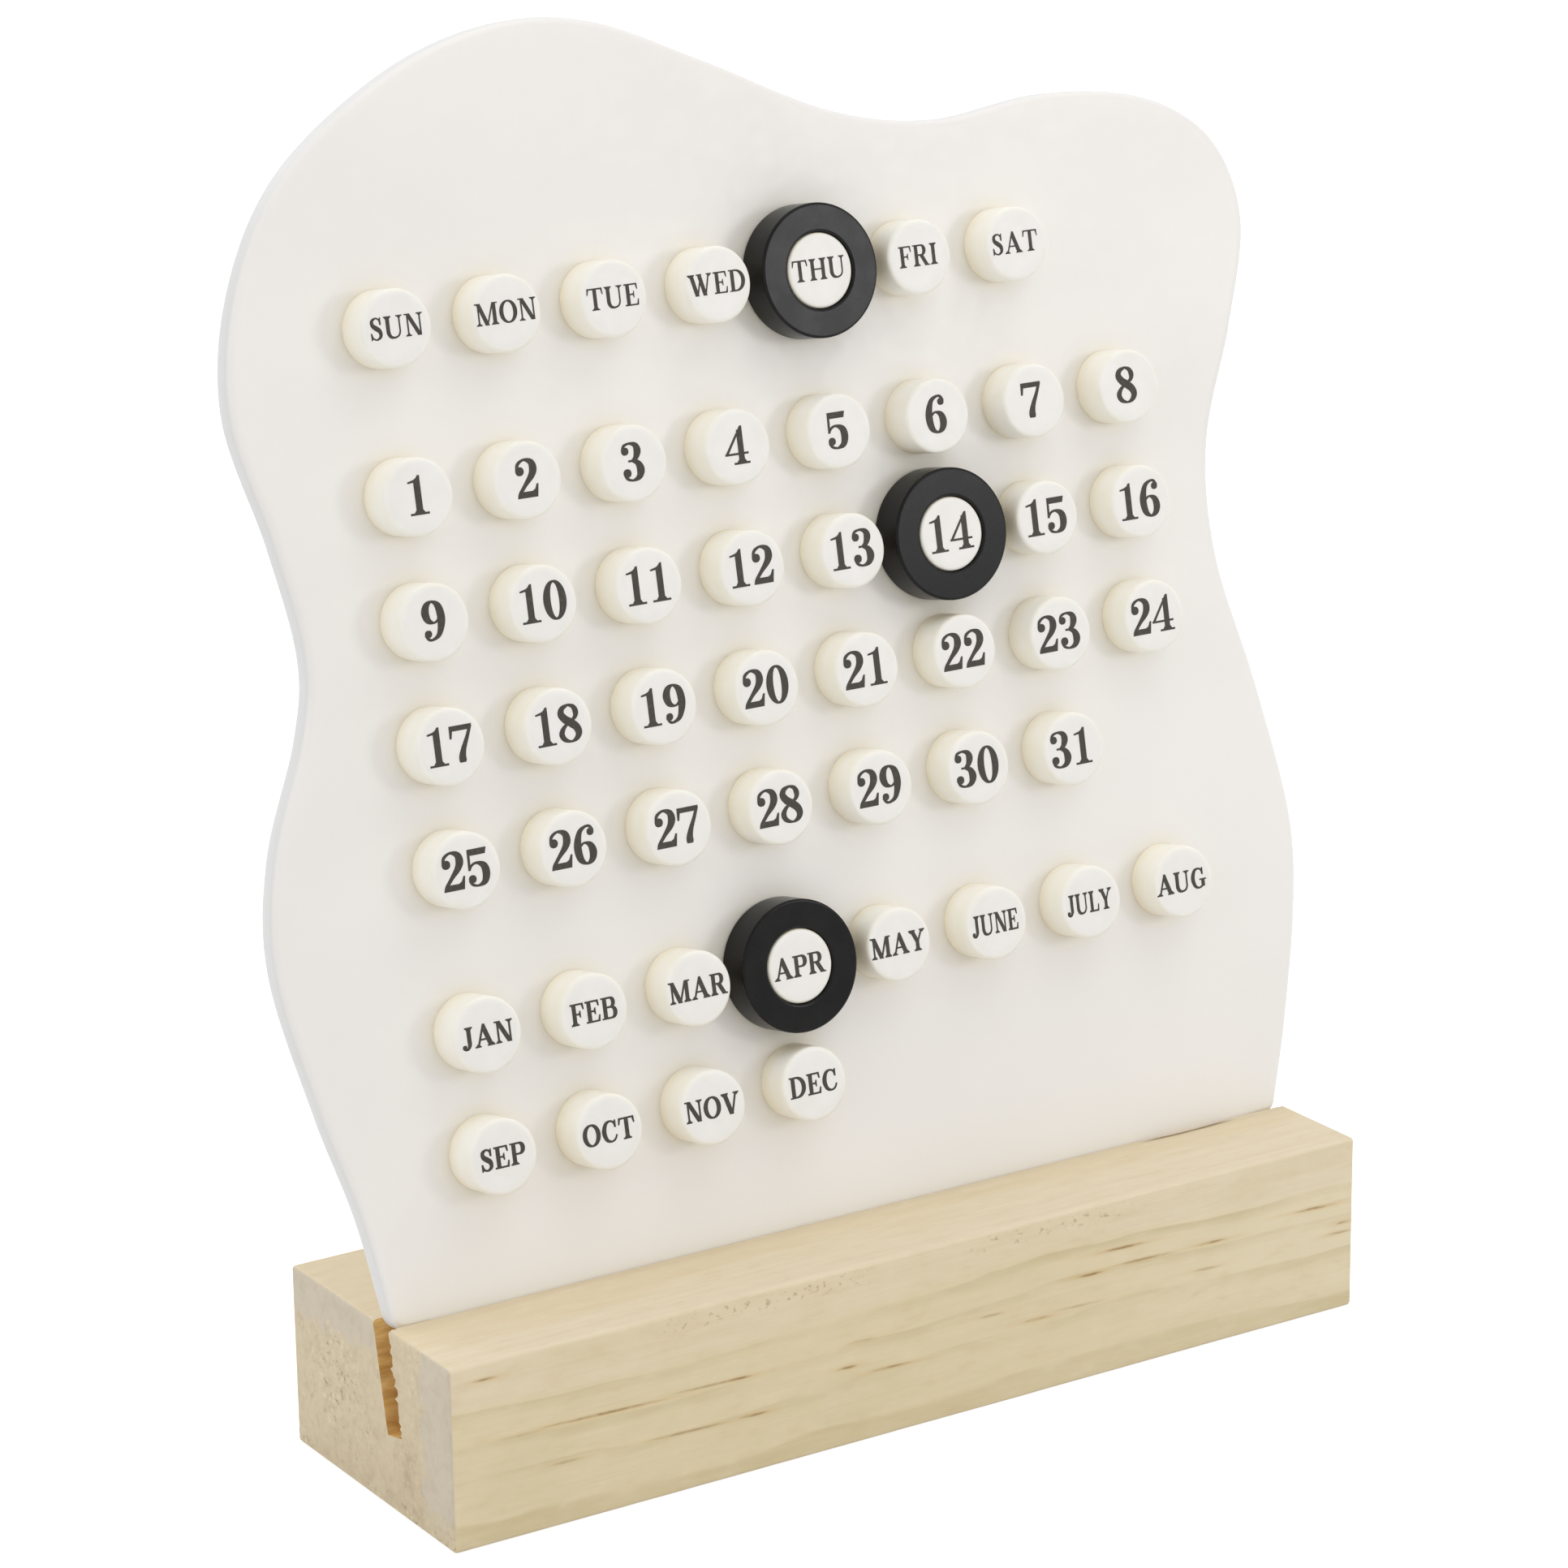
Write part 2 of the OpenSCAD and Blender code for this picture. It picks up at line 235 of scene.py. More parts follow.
ROUND_LEFT = [
    (0.74, 0.7, 0.05), (0.66, 0.9, 0.06), (0.46, 0.975, HAIR), (0.25, 0.86, 0.14), (0.14, 0.5, 0.2), (0.25, 0.14, 0.14)
]
LETTERS = {
    "A": (1.0, slash(0.15, 0, 0.5, 1.02, HAIR) + bar(0.25, 0.3, 0.7, 0.36) + serif(0.15, 0, 0.14, HAIR)
          + [[(0.71, 0), (0.92, 0), (0.55, 1.03), (0.47, 1.03), (0.41, 0.84)]] + serif(0.82, 0, 0.18)),
    "B": (0.84, stem(0.2) + left_slabs() + bowl(0.2, 0.5, 1, 0.74, 0.17) + bowl(0.2, 0, 0.5 + HAIR, 0.81, 0.19)),
    "C": (0.84, curve(*ROUND_LEFT, (0.48, 0.025, HAIR), (0.68, 0.1, 0.06), (0.79, 0.3, 0.05)) + moved(TOP_BEAK, 0.7)),
    "D": (0.91, stem(0.2) + left_slabs() + bowl(0.2, 0, 1, 0.88, 0.2)),
    "E": (0.77, stem(0.2) + bar(0.02, 0, 0.7, 0.065) + bar(0.02, 0.935, 0.68, 1) + bar(0.2, 0.475, 0.5, 0.54)
          + tick(0.71, 0, 0.29) + tick(0.69, 1, 0.73) + MID_BEAK),
    "F": (0.73, stem(0.2) + serif(0.2, 0, 0.19) + bar(0.02, 0.935, 0.66, 1) + bar(0.2, 0.475, 0.5, 0.54)
          + tick(0.68, 1, 0.71) + MID_BEAK),
    "G": (0.95, curve(*ROUND_LEFT, (0.46, 0.025, HAIR), (0.64, 0.07, HAIR), (0.75, 0.16, 0.09)) + moved(TOP_BEAK, 0.7)
          + stem(0.75, 0.08, 0.42) + bar(0.55, 0.4, 0.94, 0.4 + SLAB)),
    "H": (0.97, stem(0.2) + stem(0.77) + bar(0.2, 0.475, 0.77, 0.54)
          + serif(0.2, 0, 0.18) + serif(0.2, 1, 0.18) + serif(0.77, 0, 0.18) + serif(0.77, 1, 0.18)),
    "I": (0.42, stem(0.21) + serif(0.21, 0, 0.19) + serif(0.21, 1, 0.19)),
    "J": (0.6, stem(0.39, 0.3, 1) + serif(0.39, 1, 0.19) + dot(0.13, 0.11, 0.1)
          + curve((0.39, 0.4, STEM), (0.385, 0.2, 0.17), (0.3, 0.03, 0.08), (0.18, 0.0, 0.06), (0.08, 0.06, 0.06))),
    "L": (0.74, stem(0.2) + serif(0.2, 1, 0.18) + bar(0.02, 0, 0.68, 0.065) + tick(0.69, 0, 0.33)),
    "M": (1.16, stem(0.16, 0, 1, HAIR) + slash(0.57, 0, 0.17, 1, 0.2) + slash(0.57, 0, 0.92, 1, HAIR) + stem(0.97)
          + serif(0.16, 0, 0.14, HAIR) + serif(0.97, 0, 0.18)
          + bar(0.01, 1 - SLAB, 0.27, 1) + bar(0.88, 1 - SLAB, 1.15, 1)),
    "N": (0.93, stem(0.16, 0, 1, HAIR) + slash(0.72, 0, 0.18, 1, 0.2) + stem(0.77, 0, 1, HAIR)
          + serif(0.16, 0, 0.14, HAIR) + serif(0.77, 1, 0.15, HAIR) + bar(0.01, 1 - SLAB, 0.28, 1)),
    "O": (0.93, oval(0.465, 0.5, 0.455, 0.515, 0.2)),
    "P": (0.78, stem(0.2) + left_slabs(False) + serif(0.2, 0, 0.19) + bowl(0.2, 0.44, 1, 0.77, 0.19)),
    "R": (0.9, stem(0.2) + left_slabs(False) + serif(0.2, 0, 0.18) + bowl(0.2, 0.48, 1, 0.75, 0.18)
          + slash(0.76, 0, 0.46, 0.54, 0.2) + bar(0.64, 0, 0.92, SLAB)),
    "S": (0.66, curve((0.55, 0.72, 0.05), (0.49, 0.9, 0.06), (0.33, 0.975, HAIR), (0.15, 0.86, 0.14),
                      (0.17, 0.66, 0.18), (0.34, 0.52, 0.21), (0.5, 0.38, 0.19), (0.52, 0.16, 0.14),
                      (0.34, 0.025, HAIR), (0.15, 0.1, 0.06), (0.07, 0.3, 0.05))
          + moved(TOP_BEAK, 0.51) + [[(0.04, 0.33), (0.1, 0.31), (0.15, 0.1), (0.08, 0), (0.05, 0)]]),
    "T": (0.88, stem(0.44) + serif(0.44, 0, 0.2) + bar(0.05, 0.935, 0.83, 1) + tick(0.83, 1, 0.7)
          + [[(0.05, 1), (0.14, 1), (0.06, 0.7), (0.02, 0.7)]]),
    "U": (0.98, stem(0.2, 0.34, 1) + serif(0.2, 1, 0.18) + stem(0.79, 0.34, 1, HAIR) + serif(0.79, 1, 0.15, HAIR)
          + curve((0.2, 0.42, STEM), (0.21, 0.24, STEM), (0.3, 0.08, 0.14), (0.49, 0.025, 0.08), (0.69, 0.09, HAIR),
                  (0.78, 0.25, HAIR), (0.79, 0.42, HAIR))),
    "V": (0.95, slash(0.49, 0, 0.19, 1, 0.2) + slash(0.52, 0, 0.79, 1, HAIR)
          + serif(0.19, 1, 0.18, 0.2) + serif(0.8, 1, 0.14, HAIR)),
    "W": (1.3, slash(0.43, 0, 0.18, 1, 0.2) + slash(0.45, 0, 0.68, 0.85, HAIR) + slash(0.86, 0, 0.61, 1, 0.2)
          + slash(0.88, 0, 1.13, 1, HAIR) + serif(0.18, 1, 0.17, 0.2) + serif(1.14, 1, 0.14, HAIR)
          + bar(0.46, 1 - SLAB, 0.75, 1)),
    "Y": (0.94, slash(0.47, 0.44, 0.19, 1, 0.2) + slash(0.51, 0.44, 0.78, 1, HAIR) + stem(0.47, 0, 0.48)
          + serif(0.47, 0, 0.2) + serif(0.19, 1, 0.18, 0.2) + serif(0.79, 1, 0.14, HAIR)),
}

# Figures share one width
FIGURE_W = 0.733
FIGURES = {
    "0": oval(0.367, 0.5, 0.33, 0.51, 0.195, 0.05),
    "1": stem(0.366, 0, 0.86, 0.168) + serif(0.366, 0, 0.26, 0.168)
         + [[(0.282, 0.84), (0.45, 0.84), (0.45, 1.0), (0.415, 1.0), (0.36, 0.93), (0.282, 0.885)],
            [(0.115, 0.85), (0.115, 0.815), (0.3, 0.835), (0.3, 0.895)]],
    "2": dot(0.175, 0.69, 0.112)
         + curve((0.085, 0.7, 0.05), (0.14, 0.88, 0.07), (0.33, 0.975, 0.06), (0.52, 0.9, 0.15), (0.57, 0.73, 0.2),
                 (0.5, 0.55, 0.16), (0.3, 0.33, 0.09), (0.14, 0.14, 0.08), (0.09, 0.05, 0.07))
         + [[(0.05, 0), (0.62, 0), (0.67, 0.33), (0.64, 0.33), (0.58, 0.2), (0.5, 0.155), (0.13, 0.155), (0.05, 0.03)]],
    "3": dot(0.155, 0.785, 0.1) + dot(0.16, 0.215, 0.108)
         + curve((0.075, 0.8, 0.05), (0.14, 0.93, 0.06), (0.31, 0.975, 0.055), (0.47, 0.92, 0.13), (0.525, 0.775, 0.19),
                 (0.46, 0.6, 0.13), (0.35, 0.525, 0.05))
         + bar(0.235, 0.495, 0.4, 0.545)
         + curve((0.35, 0.52, 0.05), (0.5, 0.45, 0.14), (0.57, 0.27, 0.21), (0.5, 0.09, 0.14), (0.32, 0.018, 0.055),
                 (0.15, 0.07, 0.06), (0.075, 0.2, 0.05)),
    "4": stem(0.485, 0, 0.9, 0.155) + serif(0.485, 0, 0.235, 0.155) + bar(0.0, 0.25, 0.695, 0.3)
         + [[(0.408, 0.85), (0.562, 0.85), (0.562, 1.0), (0.53, 1.0)],
            [(0.0, 0.27), (0.065, 0.27), (0.562, 1.0), (0.515, 0.995)]],
    "5": [[(0.085, 0.97), (0.62, 0.97), (0.58, 0.81), (0.11, 0.81)]] + slash(0.097, 0.43, 0.11, 0.97, 0.05)
         + curve((0.08, 0.435, 0.035), (0.19, 0.57, 0.05), (0.35, 0.6, 0.07), (0.52, 0.5, 0.17), (0.565, 0.3, 0.2),
                 (0.5, 0.1, 0.15), (0.32, 0.018, 0.055), (0.15, 0.06, 0.06), (0.07, 0.17, 0.05))
         + dot(0.155, 0.205, 0.1),
    "6": dot(0.545, 0.825, 0.092)
         + curve((0.625, 0.85, 0.05), (0.54, 0.965, 0.06), (0.41, 0.975, 0.06), (0.23, 0.85, 0.12), (0.13, 0.5, 0.2),
                 (0.18, 0.16, 0.17), (0.35, 0.018, 0.055), (0.51, 0.1, 0.15), (0.57, 0.29, 0.2), (0.51, 0.48, 0.15),
                 (0.36, 0.56, 0.05), (0.23, 0.5, 0.05), (0.16, 0.36, 0.05)),
    "7": [[(0.025, 0.96), (0.655, 0.96), (0.63, 0.83), (0.09, 0.83)],
          [(0.025, 0.96), (0.09, 0.83), (0.05, 0.64), (0.015, 0.64)]]
         + curve((0.625, 0.92, 0.07), (0.52, 0.66, 0.08), (0.385, 0.38, 0.12), (0.32, 0.18, 0.17), (0.315, 0.08, 0.19),
                 (0.315, 0.01, 0.15)),
    "8": curve((0.345, 0.975, 0.05), (0.175, 0.9, 0.12), (0.12, 0.76, 0.17), (0.225, 0.61, 0.19), (0.385, 0.5, 0.2),
               (0.535, 0.37, 0.19), (0.585, 0.22, 0.17), (0.505, 0.08, 0.11), (0.345, 0.02, 0.05), (0.16, 0.09, 0.11),
               (0.085, 0.24, 0.14), (0.17, 0.4, 0.09), (0.345, 0.52, 0.05), (0.515, 0.63, 0.09), (0.555, 0.77, 0.14),
               (0.49, 0.91, 0.1), (0.345, 0.975, 0.05)) + bar(0.32, 0.945, 0.37, 0.995),
}
FIGURES["9"] = [[(FIGURE_W - x - 0.03, 1 - y) for x, y in outline] for outline in FIGURES["6"]]


def word(text):
    """Outlines of a word or number around its middle, in letter heights."""
    outlines, x = [], 0.0
    for c in text:
        width, glyph = (FIGURE_W, FIGURES[c]) if c.isdigit() else LETTERS[c]
        outlines += moved(glyph, x)
        x += width + (0 if c.isdigit() else LETTER_GAP)
    width = x - (0 if text.isdigit() else LETTER_GAP)
    return [[(px - width / 2, py - 0.5) for px, py in o] for o in outlines]


# ---- Materials ----
# How far the painted shade of a sheltered corner reaches, and how many rays look for it
CORNER_REACH, CORNER_RAYS = 4, 8


def srgb(r, g, b):
    """Linear colour of a screen colour written in 0 to 255."""
    levels = [c / 255 for c in (r, g, b)]
    return [c / 12.92 if c <= 0.04045 else ((c + 0.055) / 1.055) ** 2.4 for c in levels] + [1.0]


class Finish:
    """One procedural material. Its patterns are placed by the object's own coordinates, in millimetres."""

    def __init__(self, name):
        self.material = bpy.data.materials.new(name)
        self.material.use_nodes = True
        self.tree = self.material.node_tree
        self.surface = self.tree.nodes["Principled BSDF"]
        coords = self.tree.nodes.new("ShaderNodeTexCoord")
        self.normal = coords.outputs["Normal"]
        self.place = self.vector("MULTIPLY", coords.outputs["Object"], (1000, 1000, 1000))

    def add(self, kind, inputs, **settings):
        node = self.tree.nodes.new("ShaderNode" + kind)
        for key, value in settings.items():
            setattr(node, key, value)
        for key, value in inputs.items():
            self.put(node.inputs[key], value)
        return node

    def put(self, socket, value):
        if isinstance(value, bpy.types.NodeSocket):
            self.tree.links.new(value, socket)
        else:
            socket.default_value = value

    def set(self, **values):
        """Sets or links inputs of the surface, with _ for a space in their names."""
        for key, value in values.items():
            self.put(self.surface.inputs[key.replace("_", " ")], value)

    def math(self, operation, a, b=0.0):
        return self.add("Math", {0: a, 1: b}, operation=operation).outputs[0]

    def times(self, a, b):
        return self.math("MULTIPLY", a, b)

    def vector(self, operation, a, b=(0, 0, 0)):
        node = self.add("VectorMath", {0: a, 1: b}, operation=operation)
        return node.outputs["Value" if operation in ("DOT_PRODUCT", "LENGTH") else "Vector"]

    def along(self, direction):
        """Distance along a direction, in millimetres."""
        return self.vector("DOT_PRODUCT", self.place, direction)

    def facing(self, direction):
        return self.vector("DOT_PRODUCT", self.normal, direction)

    def noise(self, stretch, detail=3.0, rough=0.55, shift=(0, 0, 0)):
        """Noise from 0 to 1 with so many waves per millimetre along each axis."""
        place = self.vector("ADD", self.vector("MULTIPLY", self.place, stretch), shift)
        inputs = {"Vector": place, "Scale": 1.0, "Detail": detail, "Roughness": rough}
        return self.add("TexNoise", inputs).outputs["Fac"]

    def between(self, value, low, high, out_low=0.0, out_high=1.0):
        """Smooth step of a value, from out_low at low to out_high at high."""
        inputs = {"Value": value, "From Min": low, "From Max": high, "To Min": out_low, "To Max": out_high}
        return self.add("MapRange", inputs, interpolation_type="SMOOTHSTEP").outputs[0]

    def window(self, value, low, high, soft):
        """1 from low to high, with soft ends."""
        rise = self.between(value, low - soft, low + soft)
        return self.times(rise, self.between(value, high - soft, high + soft, 1.0, 0.0))

    def shelter(self):
        """1 in the open, less in corners and beside other pieces."""
        return self.add("AmbientOcclusion", {"Distance": CORNER_REACH * MM}, samples=CORNER_RAYS).outputs["AO"]

    def mix(self, share, a, b):
        return self.add("Mix", {0: share, 6: a, 7: b}, data_type="RGBA").outputs[2]

    def bump(self, height, strength, distance, **more):
        """Bump of so many millimetres."""
        inputs = {"Height": height, "Strength": strength, "Distance": distance * MM, **more}
        self.set(Normal=self.add("Bump", inputs).outputs[0])


# Growth rings: pith below the block in depth and height, spacing, start, and bends as (from, to, fall) along X
PITH = (17.75, -10)
RING_GAP, RING_PHASE = 2.53, 0.31
RING_BENDS = [(-72, -36, 0.9), (-32, 26, -1.9), (34, 62, 1.1)]
# Thin resin streaks on the base's front: place along X, height, half length and strength
STREAKS = [
    (-70.1, 23.8, 1.8, 0.8), (-64.9, 14.6, 4.0, 0.25), (-52.6, 14.5, 9.5, 0.75), (-34.7, 14.4, 7.0, 0.5),
    (-30.9, 14.3, 2.6, 0.8), (-57.8, 9.0, 3.0, 0.35), (-39.1, 8.6, 6.5, 0.55), (-28.5, 8.4, 2.4, 0.7),
    (-13.3, 11.6, 1.7, 0.8), (-6.2, 10.0, 3.4, 0.6), (-11.1, 15.0, 2.6, 0.35), (10.8, 13.6, 2.2, 0.4),
    (18.9, 11.2, 2.4, 0.7), (26.0, 11.5, 4.4, 0.3), (27.9, 15.8, 2.3, 0.9), (37.4, 16.0, 5.0, 0.6),
    (33.4, 18.6, 4.2, 0.8), (49.2, 15.8, 2.8, 0.8), (68.2, 16.8, 3.8, 0.8), (73.6, 13.4, 1.6, 0.7),
    (72.6, 12.0, 2.4, 0.5), (48.5, 11.9, 3.0, 0.35),
]
STREAK_HALF_H, STREAK_SLOPE, STAIN_SHARE = 0.24, -0.03, 0.45
# A chip in the lip at the panel's foot
CHIP_X, CHIP_Y, CHIP_HALF, CHIP_DEEP = 57, -6.3, 9, 0.6
# Torn pits just below the front arris, from and to along X, and their band of heights
TORN_RUNS, TORN_BAND = ((-42, -10), (8, 34)), (23.4, 25.4)
# On the ends, in depth and height: middle of the pitted patch, middle and half size of the damp stain
PIT_MIDDLE, DAMP_MIDDLE, DAMP_HALF = (9, 14), (-10.5, 6.5), (5, 8)


class Pine(Finish):
    """Finish with the parts of the block's pattern. x, y and z are distances along the axes."""

    def __init__(self, name):
        super().__init__(name)
        self.x, self.y, self.z = (self.along(axis) for axis in ((1, 0, 0), (0, 1, 0), (0, 0, 1)))

    def rings(self):
        """Height in the bent wood, and the share of dark late wood."""
        level = self.z
        for start, end, fall in RING_BENDS:
            level = self.math("ADD", level, self.between(self.x, start, end, 0.0, fall))
        spoke = {0: 0.0, 1: self.math("SUBTRACT", self.y, PITH[0]), 2: self.math("SUBTRACT", level, PITH[1])}
        radius = self.vector("LENGTH", self.add("CombineXYZ", spoke).outputs[0])
        warp = self.noise((0.035, 0.09, 0.09), 2.0, 0.5)
        radius = self.math("ADD", radius, self.between(warp, 0.2, 0.8, -0.35, 0.35))
        ring = self.math("FRACT", self.math("ADD", self.math("DIVIDE", radius, RING_GAP), RING_PHASE))
        late = self.times(self.between(ring, 0.5, 0.92), self.between(ring, 0.92, 1.0, 1.0, 0.0))
        patch = self.between(self.noise((0.035, 0.2, 0.2), 3.0, shift=(7, 3, 1)), 0.3, 0.68, 0.1, 1.0)
        return level, self.times(late, patch)

    def sides(self, level, late):
        """Front and back: paler towards the right end and the top, darker under the lowest ring."""
        colour = self.mix(self.between(self.x, 15, 60, 0.0, 0.7), srgb(227, 212, 177), srgb(233, 220, 190))
        above = self.between(level, 19.4, 20.6)
        colour = self.mix(self.times(above, 0.6), colour, srgb(231, 215, 187))
        colour = self.mix(self.between(level, 3.4, 2.4, 0.0, 0.2), colour, srgb(206, 190, 150))
        cloud = self.noise((0.04, 0.12, 0.12), 2.0, shift=(6, 2, 9))
        colour = self.mix(self.between(cloud, 0.45, 0.75, 0.0, 0.35), colour, srgb(216, 202, 163))
        return self.mix(self.times(late, self.between(above, 0.0, 1.0, 0.5, 0.1)), colour, srgb(199, 181, 136))

    def top(self, late):
        """Top face: cream along the front, warmer towards the panel, with painted light behind the panel and painted
        shade at the slot and in the chip.
        """
        drift = self.noise((0.025, 0.15, 0.15), 3.0, shift=(3, 9, 4))
        inward = self.math("ADD", self.y, self.between(drift, 0.2, 0.8, -5.0, 5.0))
        inward = self.math("SUBTRACT", inward, self.between(self.x, 20, 65, 0.0, 4.0))
        board = self.mix(self.between(inward, -17.0, -11.0), srgb(228, 214, 187), srgb(225, 209, 178))
        # Painted light: the top behind the panel is painted paler
        board = self.mix(self.between(self.y, -1.0, 6.0, 0.0, 0.4), board, srgb(232, 217, 188))
        # Painted shade: a grey strip on the top beside the panel's foot
        board = self.mix(self.times(self.window(self.y, -7.2, -2.0, 1.2), 0.22), board, srgb(190, 180, 164))
        # Painted shade: the chip in the lip is painted dark brown, darkening the gap at the panel's foot
        away = self.vector("SUBTRACT", self.place, (CHIP_X, CHIP_Y, 0))
        away = self.vector("LENGTH", self.vector("MULTIPLY", away, (1 / CHIP_HALF, 1 / CHIP_DEEP, 0)))
        board = self.mix(self.between(away, 0.5, 1.1, 0.8, 0.0), board, srgb(112, 86, 56))
        return self.mix(self.times(late, 0.13), board, srgb(207, 184, 140))

    def tears(self):
        """Share of torn pits on the front."""
        runs = [self.window(self.x, *run, 4.0) for run in TORN_RUNS]
        torn = self.times(self.math("MAXIMUM", *runs), self.window(self.z, *TORN_BAND, 0.7))
        return self.times(self.between(self.noise((0.9, 1.3, 1.3), 3.0, 0.6, shift=(4, 7, 1)), 0.55, 0.68), torn)

    def streaks(self):
        """Shares of dark resin and of the wider orange stain round it."""
        level = self.math("SUBTRACT", self.z, self.times(self.x, STREAK_SLOPE))
        flat = self.add("CombineXYZ", {0: self.x, 1: 0.0, 2: level}).outputs[0]
        resin = stain = 0.0
        for x, z, half, strength in STREAKS:
            away = self.vector("SUBTRACT", flat, (x, 0, z - STREAK_SLOPE * x))
            away = self.vector("LENGTH", self.vector("MULTIPLY", away, (1 / half, 0, 1 / STREAK_HALF_H)))
            resin = self.math("MAXIMUM", resin, self.between(away, 0.2, 1.3, strength, 0.0))
            stain = self.math("MAXIMUM", stain, self.between(away, 0.4, 3.0, strength * STAIN_SHARE, 0.0))
        broken = self.between(self.noise((0.4, 1.6, 1.6), 2.0, shift=(5, 5, 5)), 0.3, 0.6, 0.35, 1.0)
        return self.times(resin, broken), stain

    def end_grain(self):
        """Colour of the ends and their share of pits: clustered pits and pale flecks, stains, a chalky band."""
        across = self.vector("MULTIPLY", self.place, (0, 1, 1))
        speck = self.noise((0.5, 1.1, 1.1), 3.0, 0.7, shift=(2, 2, 2))
        cluster = self.between(self.noise((0.1, 0.2, 0.2), 2.0, shift=(8, 1, 3)), 0.42, 0.62, 0.0, 0.7)
        away = self.vector("LENGTH", self.vector("SUBTRACT", across, (0, *PIT_MIDDLE)))
        cluster = self.math("ADD", cluster, self.between(away, 4.0, 11.0, 0.5, -0.3))
        cluster = self.math("ADD", cluster, self.between(self.z, 3.5, 0.5, 0.0, 0.5))
        pit = self.times(self.between(speck, 0.55, 0.7), self.between(cluster, 0.0, 1.0, 0.15, 0.9))
        pale = self.times(self.between(speck, 0.46, 0.34), self.between(cluster, 0.0, 1.0, 0.35, 1.0))
        grey = self.between(self.noise((0.2, 0.35, 0.35), 4.0, 0.65, shift=(5, 8, 2)), 0.42, 0.72)
        grain = self.mix(self.times(grey, 0.5), srgb(215, 200, 170), srgb(194, 176, 149))
        damp = self.vector("SUBTRACT", across, (0, *DAMP_MIDDLE))
        damp = self.vector("LENGTH", self.vector("MULTIPLY", damp, (0, 1 / DAMP_HALF[0], 1 / DAMP_HALF[1])))
        damp = self.times(self.between(damp, 1.1, 0.4), self.between(grey, 0.0, 1.0, 0.3, 0.9))
        grain = self.mix(self.times(damp, 0.6), grain, srgb(186, 164, 132))
        grain = self.mix(pale, grain, srgb(227, 213, 180))
        ragged = self.between(self.noise((0.4, 0.4, 0.4), 4.0, 0.7, shift=(1, 4, 8)), 0.2, 0.8, -2.0, 2.0)
        y, z = self.math("ADD", self.y, ragged), self.math("ADD", self.z, ragged)
        strip = self.times(self.between(y, -15.0, -13.4, 1.0, 0.0), self.between(z, 1.5, 4.5))
        lid = self.math("ADD", z, self.times(self.y, 0.1))
        lid = self.times(self.between(lid, 20.4, 22.8), self.between(y, -4.0, 0.0))
        band = self.math("MAXIMUM", strip, lid)
        chalk = self.mix(grey, srgb(208, 198, 180), srgb(200, 190, 172))
        grain = self.mix(self.times(band, 0.8), grain, chalk)
        pitted = self.times(pit, self.between(band, 0.0, 1.0, 0.7, 0.12))
        return self.mix(pitted, grain, srgb(140, 112, 78)), pit


def pine(name):
    f = Pine(name)
    level, late = f.rings()
    colour = f.mix(f.between(f.facing((0, 0, 1)), 0.5, 0.8), f.sides(level, late), f.top(late))
    # Fine fibres along the grain, and darker and paler blotches
    fibre = f.noise((0.05, 2.2, 2.2), 4.0, 0.6)
    colour = f.mix(f.between(fibre, 0.3, 0.75, 0.0, 0.09), colour, srgb(186, 164, 120))
    blotch = f.noise((0.22, 0.6, 0.6), 4.0, 0.6, shift=(9, 6, 3))
    colour = f.mix(f.between(blotch, 0.5, 0.8, 0.0, 0.25), colour, srgb(206, 182, 138))
    colour = f.mix(f.between(blotch, 0.5, 0.25, 0.0, 0.25), colour, srgb(236, 223, 196))
    # The front alone has torn pits and streaks
    front = f.between(f.y, -21.5, -20.9, 1.0, 0.0)
    colour = f.mix(f.times(f.times(f.tears(), front), 0.55), colour, srgb(160, 136, 98))
    resin, stain = (f.times(share, front) for share in f.streaks())
    colour = f.mix(stain, colour, srgb(214, 180, 120))
    colour = f.mix(resin, colour, srgb(144, 114, 68))
    end = f.between(f.math("ABSOLUTE", f.facing((1, 0, 0))), 0.5, 0.8)
    grain, pit = f.end_grain()
    colour = f.mix(end, colour, grain)
    f.set(Base_Color=colour, Roughness=f.between(fibre, 0.2, 0.8, 0.58, 0.76), Specular_IOR_Level=0.3)
    height = f.math("SUBTRACT", f.times(fibre, 0.5), f.times(resin, 0.6))
    f.bump(f.math("SUBTRACT", height, f.times(f.times(pit, end), 1.2)), 0.5, 0.12)
    return f.material


def slot_wall(name):
    """Sawn and scorched wood inside the slot."""
    f = Finish(name)
    saw = f.noise((0.3, 0.9, 1.6), 4.0, 0.65)
    burn = f.noise((0.1, 0.4, 0.4), 3.0, shift=(4, 1, 6))
    colour = f.mix(f.between(saw, 0.3, 0.7), srgb(242, 206, 138), srgb(226, 182, 104))
    colour = f.mix(f.between(burn, 0.45, 0.7, 0.0, 0.7), colour, srgb(186, 136, 70))
    f.set(Base_Color=colour, Roughness=f.between(saw, 0.2, 0.8, 0.75, 0.9))
    f.bump(saw, 0.6, 0.25)
    return f.material


